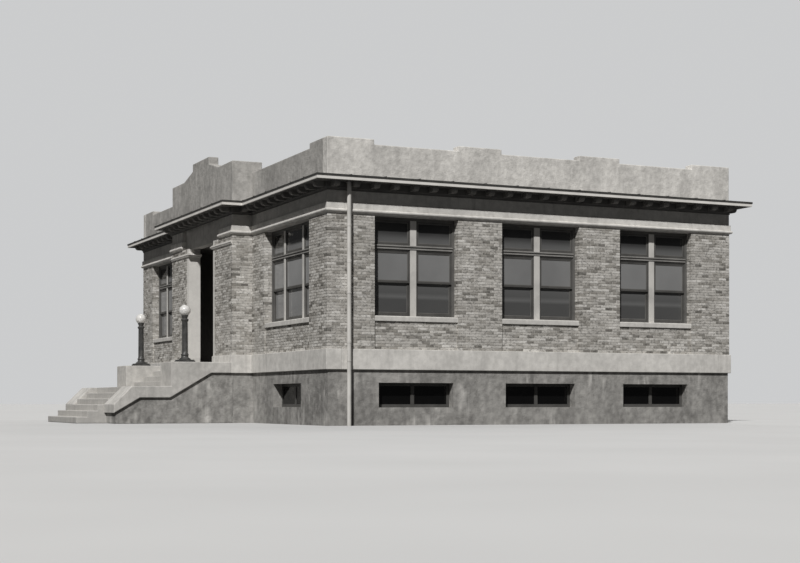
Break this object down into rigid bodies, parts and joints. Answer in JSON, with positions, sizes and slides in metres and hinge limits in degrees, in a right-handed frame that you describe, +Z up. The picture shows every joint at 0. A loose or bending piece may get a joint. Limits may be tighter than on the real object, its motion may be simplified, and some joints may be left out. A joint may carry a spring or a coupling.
{
  "type": "one-storey public library building",
  "caption": "Small brick public library on a raised basement, with an entrance bay, flat bracketed eave, parapet and divided front steps.",
  "frame": {"origin": "ground level, in the middle of the main body's plan", "axes": "+X along the front to the right as seen from the street, the front faces -Y, +Z up"},
  "size_m": [17, 16.09, 7.24],
  "materials": {
    "brick": "matte",
    "cement": "matte",
    "concrete": "matte",
    "stucco": "matte",
    "plaster": "matte",
    "painted_wood": "painted",
    "door_wood": "varnished",
    "glass": "clear",
    "iron": "painted",
    "globe_glass": "frosted",
    "sheet_metal": "matte"
  },
  "bodies": {
    "root": {"corner_piers": "brick", "wall_piers": "brick", "entrance_piers": "brick", "window_aprons": "brick", "water_table_front": "cement", "water_table_sides": "cement", "water_table_rear": "cement", "window_sills": "cement", "belt_course": "cement", "imposts": "cement", "cheek_walls": "cement", "basement_floor": "concrete", "basement_wall_front": "concrete", "basement_wall_sides": "concrete", "basement_wall_rear": "concrete", "cheek_bases": "concrete", "main_floor": "concrete", "upper_flight": "concrete", "lower_flight": "concrete", "roof_slab": "concrete", "bay_roof_slab": "concrete", "frieze_front": "stucco", "frieze_sides": "stucco", "frieze_rear": "stucco", "parapet_front": "stucco", "parapet_sides": "stucco", "parapet_rear": "stucco", "parapet_bay": "stucco", "porch_walls": "plaster", "porch_back_wall": "plaster", "porch_ceiling": "plaster", "window_frames_front": "painted_wood", "window_frames_sides": "painted_wood", "window_frames_rear": "painted_wood", "basement_window_frames": "painted_wood", "bed_moulding": "painted_wood", "eave_brackets": "painted_wood", "eave_fascia": "painted_wood", "entrance_doors": "door_wood", "glass": "glass", "lamp_posts": "iron", "lamp_globes": "globe_glass", "downspouts": "sheet_metal"}
  },
  "joints": []
}
